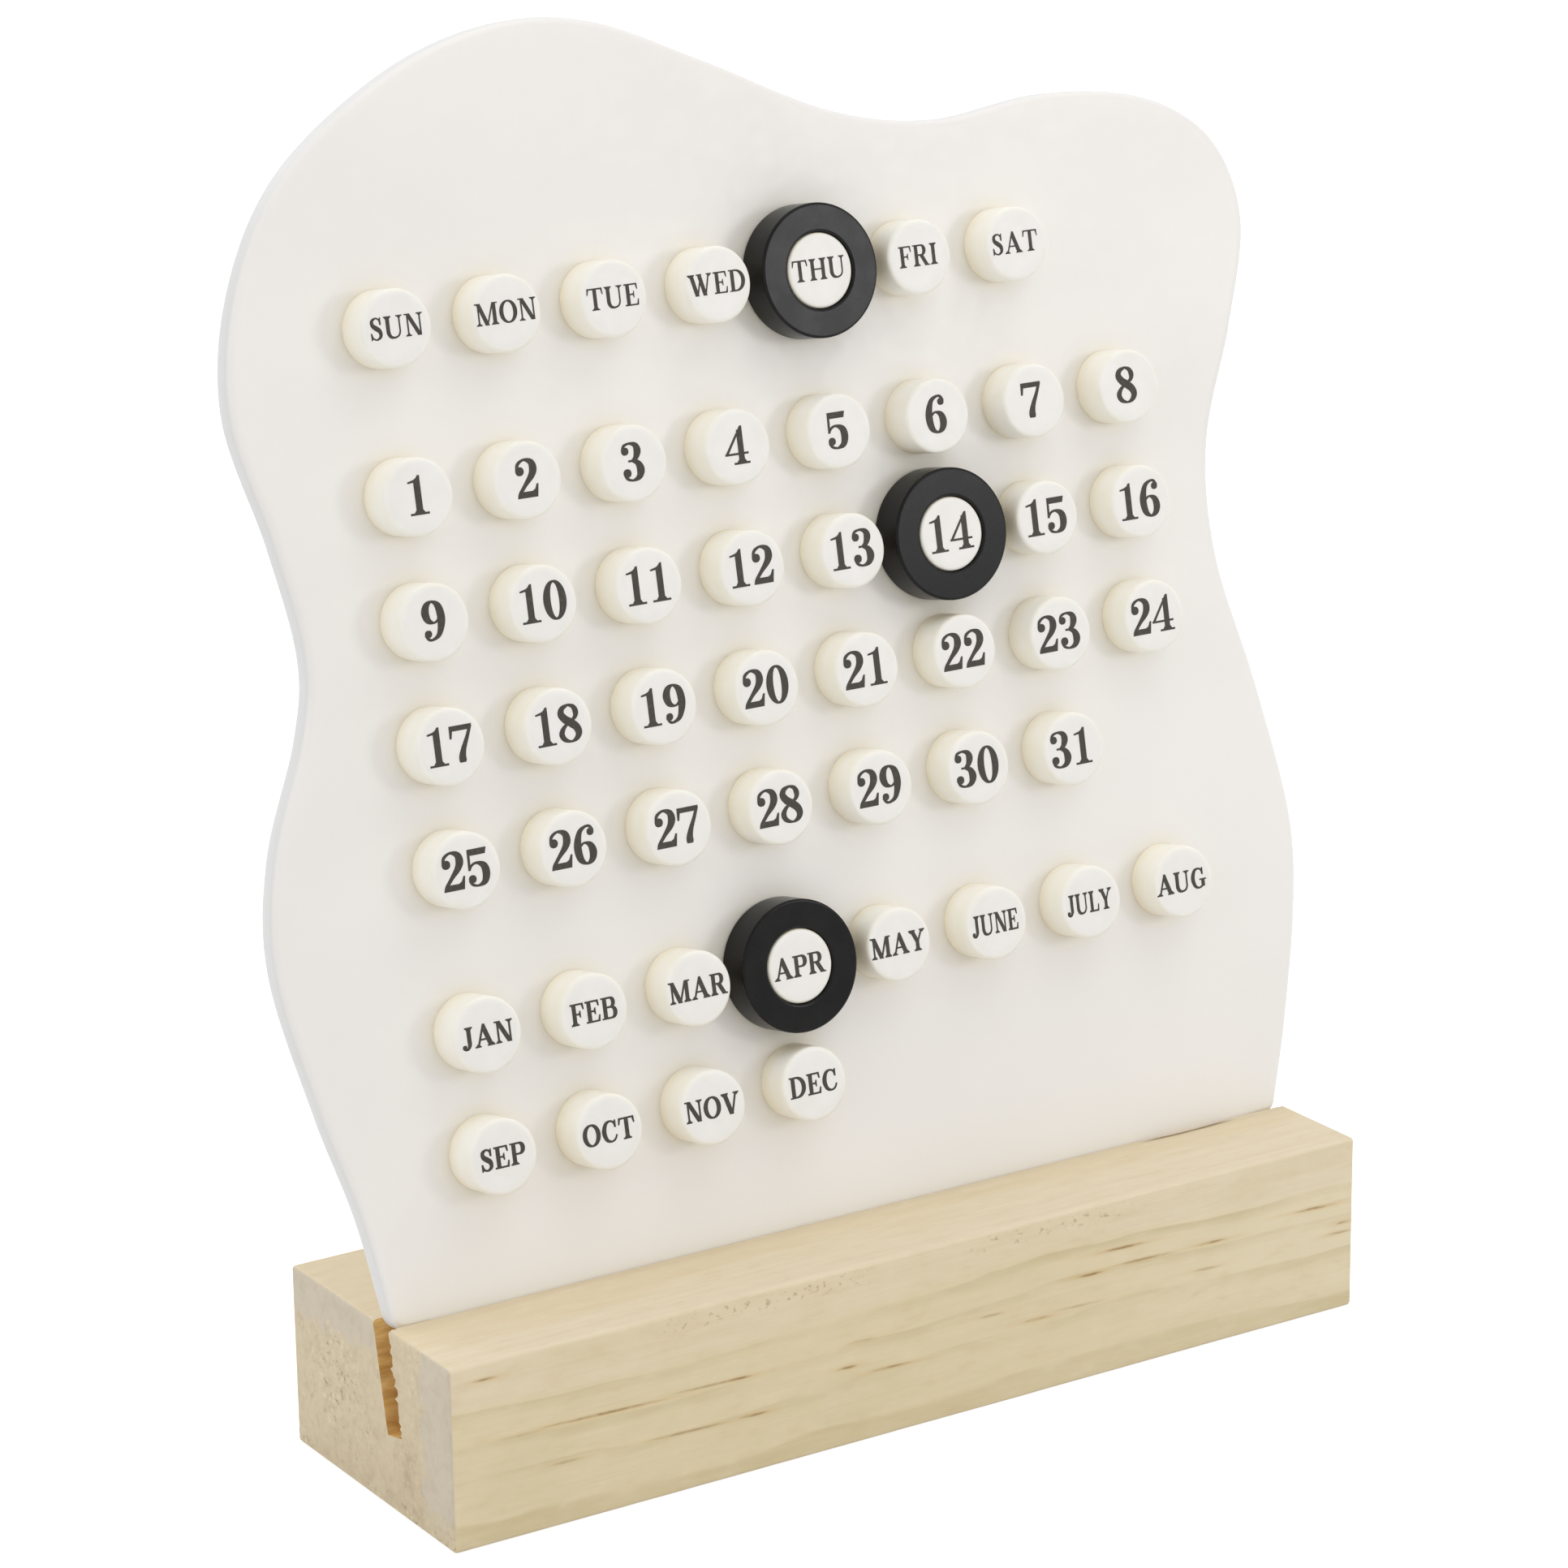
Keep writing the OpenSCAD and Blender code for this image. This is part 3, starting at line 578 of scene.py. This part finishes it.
def sheet_plastic(name):
    """Satin white sheet with a barely uneven surface."""
    f = Finish(name)
    cloud = f.noise((0.02, 0.02, 0.02), 2.0)
    skin = f.noise((0.5, 0.5, 0.5), 3.0)
    colour = f.mix(f.between(cloud, 0.3, 0.7), srgb(239, 236, 232), srgb(235, 232, 228))
    # Painted shade: the panel turns warmer and darker where the pegs and rings shelter it
    colour = f.mix(f.between(f.shelter(), 0.4, 1.0, 0.45, 0.0), colour, srgb(235, 228, 204))
    # Painted shade: the rounded edges, turned away from the faces, are painted greyer than the faces
    rim = f.math("ABSOLUTE", f.facing(tuple(PANEL_OUT)))
    colour = f.mix(f.between(rim, 0.8, 0.2, 0.0, 0.9), colour, srgb(221, 221, 221))
    f.set(Base_Color=colour, Roughness=f.between(skin, 0.25, 0.75, 0.34, 0.44))
    f.set(Subsurface_Weight=0.3, Subsurface_Radius=(1.0, 0.97, 0.93), Subsurface_Scale=0.003)
    f.bump(skin, 0.12, 0.05)
    return f.material


# Radius that a peg's rim is shaded with, and the heights between which that starts
RIM_SOFT, RIM_FROM, RIM_TO = 1.6, 2.0, 3.2


def peg_plastic(name):
    """Cream pegs with tops of a whiter tone; the sides and the softly shaded rim are painted lighter than the tops, a
    painted highlight.
    """
    f = Finish(name)
    rise = f.vector("DOT_PRODUCT", f.vector("SUBTRACT", f.place, (0, FACE_Y, BASE_H)), tuple(PANEL_OUT))
    # The rim is shaded softer than it is cut
    flat = f.add("NewGeometry", {}).outputs["Normal"]
    soft = f.add("Bevel", {"Radius": RIM_SOFT * MM}).outputs[0]
    share = f.between(rise, RIM_FROM, RIM_TO, 0.0, 0.5)
    normal = f.add("Mix", {0: share, 4: flat, 5: soft}, data_type="VECTOR").outputs[1]
    # Painted highlight: where the soft normal tilts at the rim, the lighter side colour is used
    top = f.between(f.vector("DOT_PRODUCT", soft, tuple(PANEL_OUT)), 0.72, 1.0)
    mottle = f.noise((0.3, 0.3, 0.3), 3.0)
    side = f.mix(f.between(mottle, 0.3, 0.7), srgb(253, 250, 240), srgb(251, 247, 234))
    # Painted warm shade on the sides where the panel and the rings shelter them, standing in for light that passes
    # through the plastic
    side = f.mix(f.between(f.shelter(), 0.3, 0.95, 0.7, 0.0), side, srgb(248, 232, 198))
    face = f.mix(f.between(mottle, 0.3, 0.7), srgb(240, 237, 233), srgb(237, 234, 229))
    skin = f.noise((0.8, 0.8, 0.8), 3.0)
    f.set(Base_Color=f.mix(top, side, face), Roughness=f.between(skin, 0.25, 0.75, 0.36, 0.48))
    f.set(Subsurface_Weight=0.15, Subsurface_Radius=(1.0, 0.9, 0.78), Subsurface_Scale=0.001)
    f.bump(skin, 0.1, 0.04, Normal=normal)
    return f.material


def ring_plastic(name):
    """Satin black, slightly chalky."""
    f = Finish(name)
    chalk = f.noise((0.25, 0.25, 0.25), 3.0)
    grit = f.noise((3.0, 3.0, 3.0), 2.0)
    colour = f.mix(f.between(chalk, 0.35, 0.75), srgb(13, 13, 13), srgb(19, 19, 18))
    f.set(Base_Color=colour, Roughness=f.between(chalk, 0.25, 0.75, 0.22, 0.27), Specular_IOR_Level=0.16)
    f.bump(grit, 0.15, 0.02)
    return f.material


def ink(name):
    """Printed ink with slightly uneven cover."""
    f = Finish(name)
    cover = f.noise((1.6, 1.6, 1.6), 3.0, 0.6)
    f.set(
        Base_Color=f.mix(f.between(cover, 0.45, 0.8), srgb(44, 38, 29), srgb(70, 64, 54)),
        Roughness=f.between(cover, 0.25, 0.75, 0.5, 0.65),
    )
    f.bump(cover, 0.2, 0.01)
    return f.material


PINE = pine("pine")
SLOT_WALL = slot_wall("sawn_slot")
SHEET = sheet_plastic("satin_sheet")
PEG = peg_plastic("cream_peg")
RING = ring_plastic("matte_ring")
INK = ink("black_ink")


# ---- Panel ----
# Straight steps along each wave, in each round corner, across each rounded edge and round a socket
WAVE_STEPS, CORNER_STEPS, EDGE_STEPS, SOCKET_STEPS = 14, 8, 8, 32
# Width of the strip that keeps the flat faces' shading flat beside a rounded edge
SUPPORT = 0.4


def outline():
    """Panel outline in millimetres, anticlockwise from the foot of the tongue."""
    tongue = HALF_W - TONGUE_STEP
    turn = (HALF_W - FOOT_R * math.cos(FOOT_FLARE), FOOT_TURN + FOOT_R * math.sin(FOOT_FLARE))
    flare = math.degrees(FOOT_FLARE)
    foot = arc(tongue - TONGUE_R, TONGUE_R - (SLOT_DEPTH - FLOOR_GAP), TONGUE_R, -90, 0, CORNER_STEPS)
    foot += [(tongue, turn[1] - FOOT_R)] + arc(*turn, FOOT_R, -90, -flare, CORNER_STEPS)
    wave = [(HALF_W, FOOT_TURN)]
    wave += [(HALF_W + out, TOP_LINE * up / 100) for up, out in RIGHT_WAVE]
    wave += [(HALF_W * across / 100, TOP_LINE + rise) for across, rise in TOP_WAVE]
    wave += [(-HALF_W - out, TOP_LINE * up / 100) for up, out in LEFT_WAVE]
    wave += [(-HALF_W, FOOT_TURN)]
    count = (len(wave) - 1) * WAVE_STEPS
    xs, ss = zip(*wave)
    run = [(spline(xs, k / WAVE_STEPS), spline(ss, k / WAVE_STEPS)) for k in range(count)]
    return foot[:-1] + run + [(-x, s) for x, s in reversed(foot)]


def inset(points, distance):
    """The outline moved inwards along its own normals."""
    out = []
    for i, (x, y) in enumerate(points):
        (ax, ay), (bx, by) = points[i - 1], points[(i + 1) % len(points)]
        before, after = Vector((y - ay, ax - x)).normalized(), Vector((by - y, x - bx)).normalized()
        step = (before + after) / (1 + before.dot(after))
        out.append((x - distance * step.x, y - distance * step.y))
    return out


def numbered(loops):
    """All points of the loops in one list, and each loop as places in that list."""
    points, places = [], []
    for loop in loops:
        places.append(list(range(len(points), len(points) + len(loop))))
        points += [Vector(p) for p in loop]
    return points, places


def triangles(loops):
    """Triangles inside the first loop and outside the others, as places in the loops' joined list of points."""
    points, places = numbered(loops)
    _, _, tris, originals, _, inside = delaunay_2d_cdt(points, [], places, 0, 1e-6)
    return [[originals[v][0] for v in t] for t, owners in zip(tris, inside) if owners == [0]]


def wavy_panel():
    rim = outline()
    n = len(rim)
    turns = [math.radians(90 * k / EDGE_STEPS) for k in range(EDGE_STEPS + 1)]
    front = [(PANEL_EDGE_R + SUPPORT, 0)]
    front += [(PANEL_EDGE_R * (1 - math.sin(a)), PANEL_EDGE_R * (math.cos(a) - 1)) for a in turns]
    profile = front + [(d, -PANEL_T - h) for d, h in reversed(front)]
    rings = [(inset(rim, d), h) for d, h in profile]
    verts = [on_panel(x, s, h) for ring, h in rings for x, s in ring]
    faces = []
    for k in range(len(rings) - 1):
        for i in range(n):
            a, b = k * n + i, k * n + (i + 1) % n
            faces.append((a, b, b + n, a + n))
    # Front face with a blind socket under each peg
    circles = []
    for words, row in GROUPS.values():
        for x, s in peg_places(row, len(words)):
            circles.append(arc(x, s, SOCKET_R, 0, 360, SOCKET_STEPS)[:-1])
    index = list(range(n))
    for circle in circles:
        index += range(len(verts), len(verts) + SOCKET_STEPS)
        verts += [on_panel(x, s, 0) for x, s in circle]
        floor = range(len(verts), len(verts) + SOCKET_STEPS)
        verts += [on_panel(x, s, -SOCKET_DEEP) for x, s in circle]
        for i in range(SOCKET_STEPS):
            j = (i + 1) % SOCKET_STEPS
            faces.append((floor[i] - SOCKET_STEPS, floor[i], floor[j], floor[j] - SOCKET_STEPS))
        faces.append(tuple(floor))
    faces += [tuple(index[v] for v in t) for t in triangles([rings[0][0]] + circles)]
    last = (len(rings) - 1) * n
    faces += [tuple(last + v for v in reversed(t)) for t in triangles([rings[-1][0]])]
    obj = piece("wavy_panel", verts, faces, "panel", [SHEET])
    tidy_normals(obj)
    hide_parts("upright_panel")


# ---- Base ----
# How far the slot's torn wall reaches in from the ends, and its depth
FRAY_REACH, FRAY_DEEP = 1.3, 1.1
# Depth of the slot's lip, how far it is worn, and the steps down the slot's walls
LIP, LIP_WEAR, SLOT_STEP = 1.3, 0.22, 0.45
# Unevenness of the long edges, as a share of their radius, and how much of that radius always stays
EDGE_WAVE, EDGE_LEFT = 0.22, 0.15
# Strip beside a long edge that keeps the faces' shading flat
EDGE_SUPPORT = 0.6
# Angle at which an end's rounding starts, so that it meets the flat end crisply
END_TURN = 12
# Steps along the base, finer within a distance from its ends
STEP, END_STEP, END_ZONE = 2.4, 0.3, 4


def fray(x, s):
    """How far the slot's front wall is torn back, or splintered out where below zero, near the base's ends."""
    near = math.exp((abs(x) - BASE_W / 2) / FRAY_REACH)
    rough = noise.noise(Vector((x * 0.8, s * 1.1, 3.1))) + 0.6 * noise.noise(Vector((x * 2.0, s * 2.9, 7.7)))
    torn = FRAY_DEEP * near * rough
    return max(torn, 0) if s > -2 * LIP else torn


def worn(x):
    """How far the slot's front lip has worn away from the panel."""
    gap = max(noise.noise(Vector((x * 0.06, 4.4, 1.9))) + 0.3 * noise.noise(Vector((x * 0.5, 8.1, 5.3))), 0)
    chip = max(1 - ((x - CHIP_X) / CHIP_HALF) ** 2, 0)
    return LIP_WEAR * gap + CHIP_DEEP * chip


def edge_radius(x, edge):
    """Radius of a long edge, which the tool and handling have left slightly uneven."""
    wave = noise.noise(Vector((x * 0.05, edge * 9.3, 0.4))) + 0.5 * noise.noise(Vector((x * 0.6, edge * 5.1, 2.2)))
    return BASE_EDGE_R * (1 + EDGE_WAVE * wave)


def base_section(x, shrink):
    """Outline of the base at a place along X, with its outside moved in by shrink. True marks the slot's walls."""
    half = BASE_D / 2
    lean = Vector((math.sin(LEAN), math.cos(LEAN)))
    out = Vector((-math.cos(LEAN), math.sin(LEAN)))
    mouth = Vector((FACE_Y, BASE_H))
    points = []

    def corner(cy, cz, start, edge):
        r = max(edge_radius(x, edge), shrink + EDGE_LEFT)
        y, z = cy * (half - r), BASE_H / 2 + cz * (BASE_H / 2 - r)
        run = arc(y, z, r - shrink, start, start + 90, CORNER_STEPS)
        coming, going = (Vector((math.cos(a), math.sin(a))) for a in map(math.radians, (start + 90, start + 180)))
        before = Vector(run[0]) - coming * EDGE_SUPPORT
        after = Vector(run[-1]) + going * EDGE_SUPPORT
        points.extend((p, False) for p in [tuple(before), *run, tuple(after)])

    def wall(h, depths, torn):
        for s in depths:
            p = mouth + lean * s + out * (h + (fray(x, s) if torn else 0))
            points.append((tuple(p), True))

    corner(-1, -1, 180, 1)
    corner(1, -1, 270, 2)
    corner(1, 1, 0, 3)
    back, front = -PANEL_T - SLOT_FIT, SLOT_FIT
    count = int((SLOT_DEPTH - LIP) / SLOT_STEP)
    depths = [-LIP - (SLOT_DEPTH - LIP) * k / count for k in range(count + 1)]
    points.append(((FACE_Y - back / math.cos(LEAN), BASE_H - shrink), False))
    wall(back, depths, False)
    wall(front, depths[::-1], True)
    points.append(((FACE_Y - (front + worn(x) + fray(x, 0)) / math.cos(LEAN), BASE_H - shrink), False))
    corner(-1, 1, 90, 4)
    return points


def stations():
    """Places along X and how far the outside is moved in there, from the left end to the right."""
    r = BASE_EDGE_R
    turns = [math.radians(END_TURN + (90 - END_TURN) * k / CORNER_STEPS) for k in range(CORNER_STEPS + 1)]
    start = math.cos(turns[0])
    ends = [(BASE_W / 2 - r * (start - math.cos(a)), r * (1 - math.sin(a))) for a in turns]
    x = ends[-1][0]
    while x > 0:
        x -= END_STEP if x > BASE_W / 2 - END_ZONE else STEP
        ends.append((max(x, 0), 0))
    return [(-x, d) for x, d in ends] + [(x, d) for x, d in reversed(ends[:-1])]


def pine_block():
    verts, faces, in_slot = [], [], []
    rows = [base_section(x, d) for x, d in stations()]
    n = len(rows[0])
    for (x, _), row in zip(stations(), rows):
        verts += [MM * Vector((x, *p)) for p, _ in row]
    for k in range(len(rows) - 1):
        for i in range(n):
            j = (i + 1) % n
            faces.append((k * n + i, k * n + j, k * n + n + j, k * n + n + i))
            in_slot.append(rows[k][i][1] or rows[k][j][1])
    for k in (0, len(rows) - 1):
        faces += [tuple(k * n + v for v in t) for t in triangles([[p for p, _ in rows[k]]])]
    obj = piece("pine_block", verts, faces, "base", [PINE, SLOT_WALL])
    obj.data.polygons.foreach_set("material_index", [int(s) for s in in_slot] + [0] * (len(faces) - len(in_slot)))
    tidy_normals(obj)
    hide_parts("base_block")


# ---- Lettering on the pegs ----
# How far the print goes below and stands above a peg's top
INK_SUNK, INK_PROUD = 0.01, 0.015
# Letter height, how far above the peg's middle it is printed, and how far each stroke is spread in letter heights
PRINT = {
    "weekday": (2.95, 0.2, (0.006, 0.004)),
    "date": (5.2, 0.24, (0.012, 0.004)),
    "month": (2.95, 0.05, (0.018, 0.012)),
}
# The print's own columns, which don't quite meet the pegs, and how near to a peg's side the print may come
PRINT_PITCH, PRINT_SHIFT = 16.45, -0.25
PRINT_REACH = PEG_R - 0.15
# Words of so many letters are squeezed across
LONG_WORD, LONG_SQUEEZE = 4, 0.78


def peg_top(x, y):
    """Height of a peg's top at a distance from its axis."""
    over = math.hypot(x, y) - (PEG_R - PEG_RIM_R)
    return PEG_H if over <= 0 else PEG_H - PEG_RIM_R + math.sqrt(max(PEG_RIM_R**2 - over**2, 0))


def turning(points):
    """Twice the area inside an outline, which is below zero where the outline runs clockwise."""
    return sum(x0 * y1 - x1 * y0 for (x0, y0), (x1, y1) in zip(points, points[1:] + points[:1]))


def joined(outlines):
    """Points and triangles of the area that the outlines cover together."""
    points, places = numbered([o if turning(o) > 0 else o[::-1] for o in outlines])
    points, _, tris, _, _, inside = delaunay_2d_cdt(points, [], places, 0, 1e-5)
    return points, [t for t, owners in zip(tris, inside) if owners]


def edges(tris):
    """Directed edges of triangles, each with its triangle's number."""
    return {(t[k], t[(k + 1) % 3]): i for i, t in enumerate(tris) for k in range(3)}


def plainer(points, tris):
    """The same area in as few triangles as its rim allows."""
    sides = edges(tris)
    rim = sorted((a, b) for a, b in sides if (b, a) not in sides)
    used = sorted({v for side in rim for v in side})
    place = {v: k for k, v in enumerate(used)}
    rim = [(place[a], place[b]) for a, b in rim]
    points, _, tris, origin, _, _ = delaunay_2d_cdt([points[v] for v in used], rim, [], 0, 0)
    now = {old: new for new, olds in enumerate(origin) for old in olds}
    rim = {(now[a], now[b]) for a, b in rim}
    beside = edges(tris)
    covered = {beside[side] for side in rim if side in beside}
    todo = sorted(covered)
    while todo:
        t = tris[todo.pop()]
        for a, b in zip(t, t[1:] + t[:1]):
            other = beside.get((b, a), -1)
            if other >= 0 and other not in covered and (a, b) not in rim and (b, a) not in rim:
                covered.add(other)
                todo.append(other)
    return points, [tris[i] for i in sorted(covered)]


def label(text, shift, tall, rise, spread):
    """Outlines of a peg's print in millimetres from the peg's axis, squeezed where it would run over the side."""
    corners = [(dx * spread[0], dy * spread[1]) for dx in (-1, 1) for dy in (-1, 1)]
    outlines = [[(x + dx, y + dy) for x, y in o] for o in word(text) for dx, dy in corners]
    wide = tall * (LONG_SQUEEZE if len(text) >= LONG_WORD else 1)
    flat = [[(x * wide, y * tall + rise) for x, y in o] for o in outlines]
    fit = min(1, *((math.sqrt(PRINT_REACH**2 - y**2) - abs(shift)) / max(abs(x), 1e-3) for o in flat for x, y in o))
    return [[(x * fit + shift, y) for x, y in o] for o in flat]


def print_on_pegs(group, words, row):
    """Print of one group of pegs, as thin closed plates."""
    verts, faces = [], []
    for text, (px, ps) in zip(words, peg_places(row, len(words))):
        shift = PRINT_SHIFT + px * (PRINT_PITCH / COL_PITCH - 1)
        flat, tris = joined(label(text, shift, *PRINT[group]))
        # A print that runs onto the peg's rounded rim needs its inner points to follow it
        if max(p.length for p in flat) < PEG_R - PEG_RIM_R:
            flat, tris = plainer(flat, tris)
        used = sorted({v for t in tris for v in t})
        lower = {v: len(verts) + k for k, v in enumerate(used)}
        upper = {v: len(verts) + len(used) + k for k, v in enumerate(used)}
        for lift in (-INK_SUNK, INK_PROUD):
            verts += [on_panel(px + x, ps + y, peg_top(x, y) + lift) for x, y in (flat[v] for v in used)]
        sides = edges(tris)
        faces += [tuple(upper[v] for v in t) for t in tris]
        faces += [tuple(lower[v] for v in reversed(t)) for t in tris]
        faces += [(lower[a], lower[b], upper[b], upper[a]) for a, b in sides if (b, a) not in sides]
    piece(group + "_print", verts, faces, "panel", [INK], smooth=False)


wavy_panel()
pine_block()
for group, (words, row) in GROUPS.items():
    print_on_pegs(group, words, row)

for name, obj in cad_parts.items():
    if name.startswith("peg_") or name.endswith("_ring"):
        obj.data.materials.clear()
        obj.data.materials.append(PEG if name.startswith("peg_") else RING)


# ---- Stage ----
# The camera: width of its picture and focal length in pixels, sensor in millimetres, angles and place
PHOTO_PX, FOCAL_PX, SENSOR = 1932, 6255.37, 36
VIEW_AZ, VIEW_EL, VIEW_ROLL = (math.radians(a) for a in (-32.57, 16.77, -0.75))
VIEW_FROM = (-366.56, -561.03, 289.55)
# Light of the sky overhead and at the horizon, and how far up from there it fades
AMBIENT, HORIZON, FADE = 0.93, 0.05, 0.3
# The floor: half its side in metres, its grey, and the glow that makes it white for the camera
FLOOR_HALF, FLOOR_GREY, FLOOR_LIFT = 4.0, 0.75, 0.6
# Where a lamp points unless told otherwise
MIDDLE = (0, 0, 0.09)


def make_camera():
    data = bpy.data.cameras.new("camera")
    data.sensor_width = SENSOR
    data.lens = FOCAL_PX / PHOTO_PX * SENSOR
    camera = bpy.data.objects.new("camera", data)
    bpy.context.scene.collection.objects.link(camera)
    back = Vector((math.sin(VIEW_AZ) * math.cos(VIEW_EL), -math.cos(VIEW_AZ) * math.cos(VIEW_EL), math.sin(VIEW_EL)))
    right = Vector((math.cos(VIEW_AZ), math.sin(VIEW_AZ), 0))
    up = back.cross(right)
    c, s = math.cos(VIEW_ROLL), math.sin(VIEW_ROLL)
    axes = Matrix((c * right + s * up, c * up - s * right, back)).transposed()
    camera.matrix_world = Matrix.Translation(MM * Vector(VIEW_FROM)) @ axes.to_4x4()
    bpy.context.scene.camera = camera


def lamp(name, direction, distance, size, power, aim=MIDDLE):
    """Square soft box in a direction from the point that it is aimed at."""
    data = bpy.data.lights.new(name, "AREA")
    data.size = size
    data.energy = power
    obj = bpy.data.objects.new(name, data)
    bpy.context.scene.collection.objects.link(obj)
    obj.location = Vector(aim) + Vector(direction).normalized() * distance
    obj.rotation_euler = (obj.location - Vector(aim)).to_track_quat("Z", "Y").to_euler()


def seen(tree):
    """1 where the camera sees a surface, itself or in a reflection or through glass."""
    path = tree.nodes.new("ShaderNodeLightPath")
    share = path.outputs["Is Camera Ray"]
    for ray in ("Is Glossy Ray", "Is Transmission Ray"):
        node = tree.nodes.new("ShaderNodeMath")
        node.operation = "MAXIMUM"
        tree.links.new(share, node.inputs[0])
        tree.links.new(path.outputs[ray], node.inputs[1])
        share = node.outputs[0]
    return share


def make_stage():
    world = bpy.data.worlds.new("studio")
    bpy.context.scene.world = world
    world.use_nodes = True
    tree = world.node_tree
    shade = tree.nodes["Background"]
    shade.inputs["Color"].default_value = (1, 1, 1, 1)
    # Dimmer towards the horizon, and plain white where the camera sees it
    sky = tree.nodes.new("ShaderNodeTexCoord")
    split = tree.nodes.new("ShaderNodeSeparateXYZ")
    rise = tree.nodes.new("ShaderNodeMapRange")
    level = tree.nodes.new("ShaderNodeMix")
    for key, value in zip(("From Min", "From Max", "To Min", "To Max"), (0.0, FADE, HORIZON, AMBIENT)):
        rise.inputs[key].default_value = value
    level.inputs["B"].default_value = 1.0
    tree.links.new(sky.outputs["Generated"], split.inputs[0])
    tree.links.new(split.outputs["Z"], rise.inputs["Value"])
    tree.links.new(seen(tree), level.inputs["Factor"])
    tree.links.new(rise.outputs[0], level.inputs["A"])
    tree.links.new(level.outputs[0], shade.inputs["Strength"])

    mesh = bpy.data.meshes.new("floor")
    corners = [(x * FLOOR_HALF, y * FLOOR_HALF, 0) for x, y in ((-1, -1), (1, -1), (1, 1), (-1, 1))]
    mesh.from_pydata(corners, [], [(0, 1, 2, 3)])
    floor = bpy.data.objects.new("floor", mesh)
    bpy.context.scene.collection.objects.link(floor)
    paper = bpy.data.materials.new("paper")
    paper.use_nodes = True
    tree = paper.node_tree
    surface = tree.nodes["Principled BSDF"]
    surface.inputs["Base Color"].default_value = (FLOOR_GREY, FLOOR_GREY, FLOOR_GREY, 1)
    surface.inputs["Roughness"].default_value = 0.9
    surface.inputs["Specular IOR Level"].default_value = 0.1
    surface.inputs["Emission Color"].default_value = (1, 1, 1, 1)
    glow = tree.nodes.new("ShaderNodeMath")
    glow.operation = "MULTIPLY"
    glow.inputs[1].default_value = FLOOR_LIFT
    tree.links.new(seen(tree), glow.inputs[0])
    tree.links.new(glow.outputs[0], surface.inputs["Emission Strength"])
    mesh.materials.append(paper)


make_camera()
make_stage()
lamp("overhead", (0.25, -0.35, 0.9), 0.5, 0.3, 0.35, (0, 0, 0.17))
lamp("key", (0.415, -0.595, 0.14), 0.74, 0.15, 0.6, (0, 0, 0.13))
lamp("fill", (-1.0, -0.2, 0.3), 1.2, 0.9, 1.4)
lamp("back", (-0.3, 0.7, 0.65), 1.2, 0.8, 1.9)
bpy.context.scene.view_settings.view_transform = "Standard"
